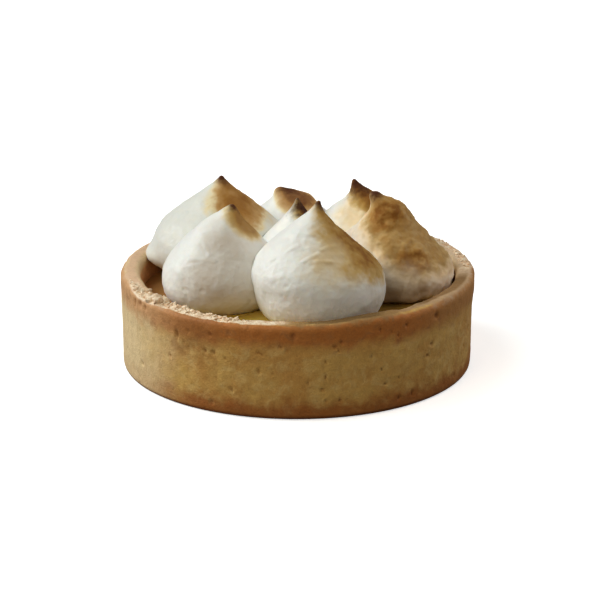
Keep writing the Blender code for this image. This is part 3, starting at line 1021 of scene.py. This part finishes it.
def pastryMaterial():
    material, tree, shader = newMaterial("baked shortcrust")
    place = placeInMillimetres(tree)
    east, north, height = axesOf(tree, place)
    radius = calc(tree, "SQRT", calc(tree, "MULTIPLY_ADD", east, east, times(tree, north, north)))
    tones = pastryColours
    sandy = useGroup(tree, grain, Place=place)
    patches = noiseAt(tree, place, 9, detail=3, roughness=0.6)
    streaks = noiseAt(tree, place, 3.5, detail=3, roughness=0.6, distortion=0.5)
    upright = vectorCalc(tree, "MULTIPLY", place, (1, 1, 0.25))
    scraped = noiseAt(tree, upright, 1.6, detail=3, roughness=0.6)
    leftward = sway(tree, east, patches, 16)
    westerly, easterly = fade(tree, east, -26, -44), fade(tree, east, 30, 43)
    ragged = sway(tree, sway(tree, height, streaks, 5), patches, 6)
    scuffed = sway(tree, vectorCalc(tree, "DISTANCE", place, (-28, -41, 23)), streaks, 18)
    footShare = calc(tree, "MULTIPLY_ADD", westerly, -0.65, 0.85)

    # the browned band below the rim
    band = times(tree, fade(tree, ragged, 18.5, 23), fade(tree, radius, 48.6, 49.4))
    bandTone = layered(tree, tones, "band", [
        (westerly, "bandLeft"), (easterly, "bandRight"), (fade(tree, streaks, 0.52, 0.72, 0.6), "blotch"),
    ])

    # the top of the rim: painted shade from the front kiss darkens it beside that kiss, and the rim colour
    # reaches further out there
    fromKiss = vectorCalc(tree, "DISTANCE", place, (13, -46.5, 27))
    kissShade = fade(tree, fromKiss, 20, 13)
    outward = calc(tree, "MULTIPLY_ADD", easterly, 1.6, westerly)
    outward = calc(tree, "SUBTRACT", sway(tree, radius, streaks, 4), outward)
    outward = calc(tree, "MULTIPLY_ADD", kissShade, -1.4, outward)
    rim = times(tree, fade(tree, height, 25.6, 26.4), fade(tree, outward, 48.7, 47.2, 0.9))
    farRight = blend(tree, fade(tree, north, -14, -2), tones["rimRight"], tones["rimFarRight"])
    inward = calc(tree, "MULTIPLY_ADD", fade(tree, north, -28, -20), -1.5, radius)
    # painted shade on the inner rim under the right kiss
    shadeUnderRight = times(tree, fade(tree, inward, 47.6, 46.6), fade(tree, north, -5, -9.5))
    rimTone = layered(tree, tones, "rim", [
        # the rim lighter at the left: painted light
        (westerly, "rimLitLeft"),
        (fade(tree, east, 24, 38), farRight),
        (kissShade, "rimKissShade"),
        # a painted highlight along the rim's inner edge, left off the shaded front
        (times(tree, fade(tree, radius, 46.6, 45.2, 0.6), lackOf(tree, kissShade)), "rimEdgeHighlight"),
        (times(tree, fade(tree, fromKiss, 14, 8), fade(tree, radius, 48.9, 48.2)), "rimShaded"),
        (times(tree, shadeUnderRight, fade(tree, east, 30, 36)), "rimShadeUnderRight"),
    ])

    # the inner wall below the rim is darkened as painted shade in the shell's recess, and lighter at the left
    # as painted bounce light
    inside = times(tree, fade(tree, radius, 45.6, 44.9), fade(tree, height, 26.4, 24.6))
    crumbly = blend(tree, fade(tree, sandy["Speckle"], 0.35, 0.6), tones["crumbShade"], tones["crumb"])
    body = layered(tree, tones, "wallWarm", [
        (fade(tree, patches, 0.35, 0.65), "wall"),
        (fade(tree, streaks, 0.45, 0.7, 0.65), "wallPale"),
        # the far left wall paler: painted light and sheen from the left
        (fade(tree, leftward, -28, -47, 0.85), "wallLitLeft"),
        (fade(tree, scraped, 0.5, 0.75, 0.3), "streak"),
        (times(tree, band, 0.85), bandTone),
        (fade(tree, scuffed, 11, 4, 0.5), "scuff"),
        # the foot and its bottom edge: browner baking, darkened further as painted shade toward the floor,
        # less at the lit left
        (times(tree, fade(tree, ragged, 7.4, 2), footShare), "foot"),
        (fade(tree, height, 1.6, 0.2), "footEdge"),
        (rim, rimTone),
        (inside, blend(tree, westerly, tones["inside"], tones["insideLitLeft"])),
        (fade(tree, attribute(tree, "crumbledShare"), 0.1, 0.6), crumbly),
        # pits darker: painted shade in the hollows
        (fade(tree, attribute(tree, "pitShare"), 0.1, 0.9, 0.4), "pit"),
    ])
    shaded = blend(tree, 1.0, body, rampOf(tree, sandy["Speckle"], [
        (0.25, (0.80, 0.78, 0.74, 1)), (0.5, (1, 1, 1, 1)), (0.8, (1.12, 1.12, 1.1, 1)),
    ]), mode="MULTIPLY")
    wire(tree, shaded, shader.inputs["Base Color"])
    setInputs(shader, {"Roughness": 0.62, "Specular IOR Level": 0.35})
    bumpOn(tree, shader, sandy["Height"], 0.28, 0.55)
    return material


def crumbMaterial():
    material, tree, shader = newMaterial("shortcrust crumbs")
    place = placeInMillimetres(tree)
    sandy = useGroup(tree, grain, Place=place)
    tones = pastryColours
    shade = blend(tree, fade(tree, sandy["Speckle"], 0.35, 0.62), tones["crumbShade"], tones["crumb"])
    wire(tree, shade, shader.inputs["Base Color"])
    setInputs(shader, {"Roughness": 0.7})
    bumpOn(tree, shader, sandy["Height"], 0.25, 0.6)
    return material


# the "baked" and corner tones are painted shade at the left and in the front right corner
curdColours = {
    "deep": rgb(184, 150, 58), "clear": rgb(198, 166, 78), "baked": rgb(176, 122, 70),
    "shadedCorner": rgb(118, 82, 38),
}


def curdMaterial():
    material, tree, shader = newMaterial("lemon curd")
    place = placeInMillimetres(tree)
    baked = fade(tree, axesOf(tree, place)[0], -30, -36, 0.9)  # the curd at the left is darker brown and duller: painted shade beside the left wall
    # darker brown between the front and right kisses: painted shade
    shadedCorner = vectorCalc(tree, "DISTANCE", place, (33, -30, 22))
    shade = layered(tree, curdColours, "deep", [
        (fade(tree, noiseAt(tree, place, 7, detail=3), 0.35, 0.65), "clear"),
        (baked, "baked"),
        (fade(tree, shadedCorner, 17, 11, 0.75), "shadedCorner"),
    ])
    wire(tree, shade, shader.inputs["Base Color"])
    wire(tree, calc(tree, "MULTIPLY_ADD", baked, 0.45, 0.25), shader.inputs["Roughness"])
    setInputs(shader, {
        "Subsurface Weight": 0.2, "Subsurface Radius": (1.0, 0.7, 0.2), "Subsurface Scale": 3 * mm,
    })
    bumpOn(tree, shader, noiseAt(tree, place, 2.5), 0.15, 0.5)
    return material


# Build the pieces and set them on the tart's body

crust = makeCrust(crustSizes)
crumbs = makeCrumbs(crumbSizes, crust)
curd = makeCurd(curdSizes)
for piece, material, slotName in (
    (crust, pastryMaterial(), "baked_pastry"),
    (crumbs, crumbMaterial(), "baked_pastry"),
    (curd, curdMaterial(), "lemon_curd"),
):
    piece.data.materials.clear()
    piece.data.materials.append(material)
    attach(piece, "root")
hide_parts("crust")
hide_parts("lemon_curd")

mould = makeMould(mouldSizes)
piped = {name: pipeKiss(name, kiss, kissSizes) for name, kiss in kisses.items()}
cutters = {name: copyOf(piece) for name, piece in piped.items()}
print("kisses: all seven piped")
firmer = []
for name, kiss in kisses.items():
    piece = piped[name]
    finishKiss(piece, kiss, kissSizes, firmer, mould, kissMarks.get(name, []))
    firmer.append(cutters[name])
    piece.data.materials.clear()
    piece.data.materials.append(meringueMaterial(name, kiss, tipOf(kiss, kissSizes)))
    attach(piece, "root")
    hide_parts(name)
for helper in [mould, *cutters.values()]:
    bpy.data.objects.remove(helper)
print("kisses: pressed together and torched")


# Floor, light and camera

stageValues = {
    "floorSize": 6.0, "floorShade": 0.85, "floorGlow": 0.62, "bounceShade": 0.22,
    "worldStrength": 0.1, "worldTone": (1.0, 0.88, 0.72, 1),
}

# name: direction in degrees, height in degrees, distance and size in metres, watts, colour
lamps = {
    "window": (165, 30, 0.9, 0.5, 4.5, (0.95, 0.96, 1.0)),
    "sky": (190, 60, 0.9, 0.5, 2.3, (0.80, 0.97, 1.0)),
    "front": (240, 35, 0.9, 0.5, 2.2, (1.0, 0.86, 0.68)),
    "back": (20, 35, 0.9, 0.8, 3.3, (1.0, 0.95, 0.92)),
}

photo = {
    "pixels": 595, "elevation": 18.76, "distance": 0.80, "target": (0, 0, 0.0135),
    "targetPixel": (297, 314.5), "pixelsPerMetre": 3497, "sensor": 36,
}


def cameraSplit(tree, seen, bounced):
    # what the camera sees straight, and what lights the tart
    mix = tree.nodes.new("ShaderNodeMixShader")
    path = tree.nodes.new("ShaderNodeLightPath")
    tree.links.new(path.outputs["Is Camera Ray"], mix.inputs[0])
    tree.links.new(bounced, mix.inputs[1])
    tree.links.new(seen, mix.inputs[2])
    return mix.outputs[0]


def grey(shade):
    return (shade, shade, shade, 1)


def makeFloor(values):
    clearSelection()
    bpy.ops.mesh.primitive_plane_add(size=values["floorSize"])
    floor = bpy.context.object
    floor.name = "floor"
    material, tree, shader = newMaterial("pale floor")
    setInputs(shader, {
        "Base Color": grey(values["floorShade"]), "Roughness": 0.9, "Specular IOR Level": 0,
        "Emission Color": grey(1), "Emission Strength": values["floorGlow"],
    })
    dim = tree.nodes.new("ShaderNodeBsdfDiffuse")
    setInputs(dim, {"Color": grey(values["bounceShade"])})
    surface = cameraSplit(tree, shader.outputs[0], dim.outputs[0])
    tree.links.new(surface, tree.nodes["Material Output"].inputs["Surface"])
    floor.data.materials.append(material)


def makeWorld(values):
    world = bpy.data.worlds.new("studio")
    bpy.context.scene.world = world
    world.use_nodes = True
    tree = world.node_tree
    soft = tree.nodes["Background"]
    setInputs(soft, {"Color": values["worldTone"], "Strength": values["worldStrength"]})
    white = tree.nodes.new("ShaderNodeBackground")
    setInputs(white, {"Color": grey(1)})
    surface = cameraSplit(tree, white.outputs[0], soft.outputs[0])
    tree.links.new(surface, tree.nodes["World Output"].inputs["Surface"])


def addLight(name, azimuth, height, distance, size, power, tone):
    outward = toward(azimuth, height)
    clearSelection()
    bpy.ops.object.light_add(type="AREA", location=up * 30 * mm + outward * distance)
    light = bpy.context.object
    light.name = name
    light.data.shape = "DISK"
    light.data.size = size
    light.data.energy = power
    light.data.color = tone
    light.rotation_euler = (-outward).to_track_quat("-Z", "Y").to_euler()


def makeCamera(photo):
    forward, upward = toward(90, -photo["elevation"]), toward(90, 90 - photo["elevation"])
    right = Vector((1, 0, 0))
    focal = photo["pixelsPerMetre"] * photo["distance"]  # in pixels of the photo
    acrossPixels = photo["pixels"] / 2 - photo["targetPixel"][0]
    downPixels = photo["pixels"] / 2 - photo["targetPixel"][1]
    aim = forward + right * (acrossPixels / focal) - upward * (downPixels / focal)
    clearSelection()
    bpy.ops.object.camera_add(location=Vector(photo["target"]) - forward * photo["distance"])
    camera = bpy.context.object
    camera.rotation_mode = "QUATERNION"
    camera.rotation_quaternion = aim.to_track_quat("-Z", "Y")
    camera.data.sensor_width = photo["sensor"]
    camera.data.lens = focal * photo["sensor"] / photo["pixels"]
    camera.data.clip_start = 0.05
    camera.data.clip_end = 20
    bpy.context.scene.camera = camera


makeFloor(stageValues)
makeWorld(stageValues)
for name, lamp in lamps.items():
    addLight(name, *lamp)
makeCamera(photo)
bpy.context.scene.view_settings.view_transform = "Standard"
print("stage: floor, lights and camera set")
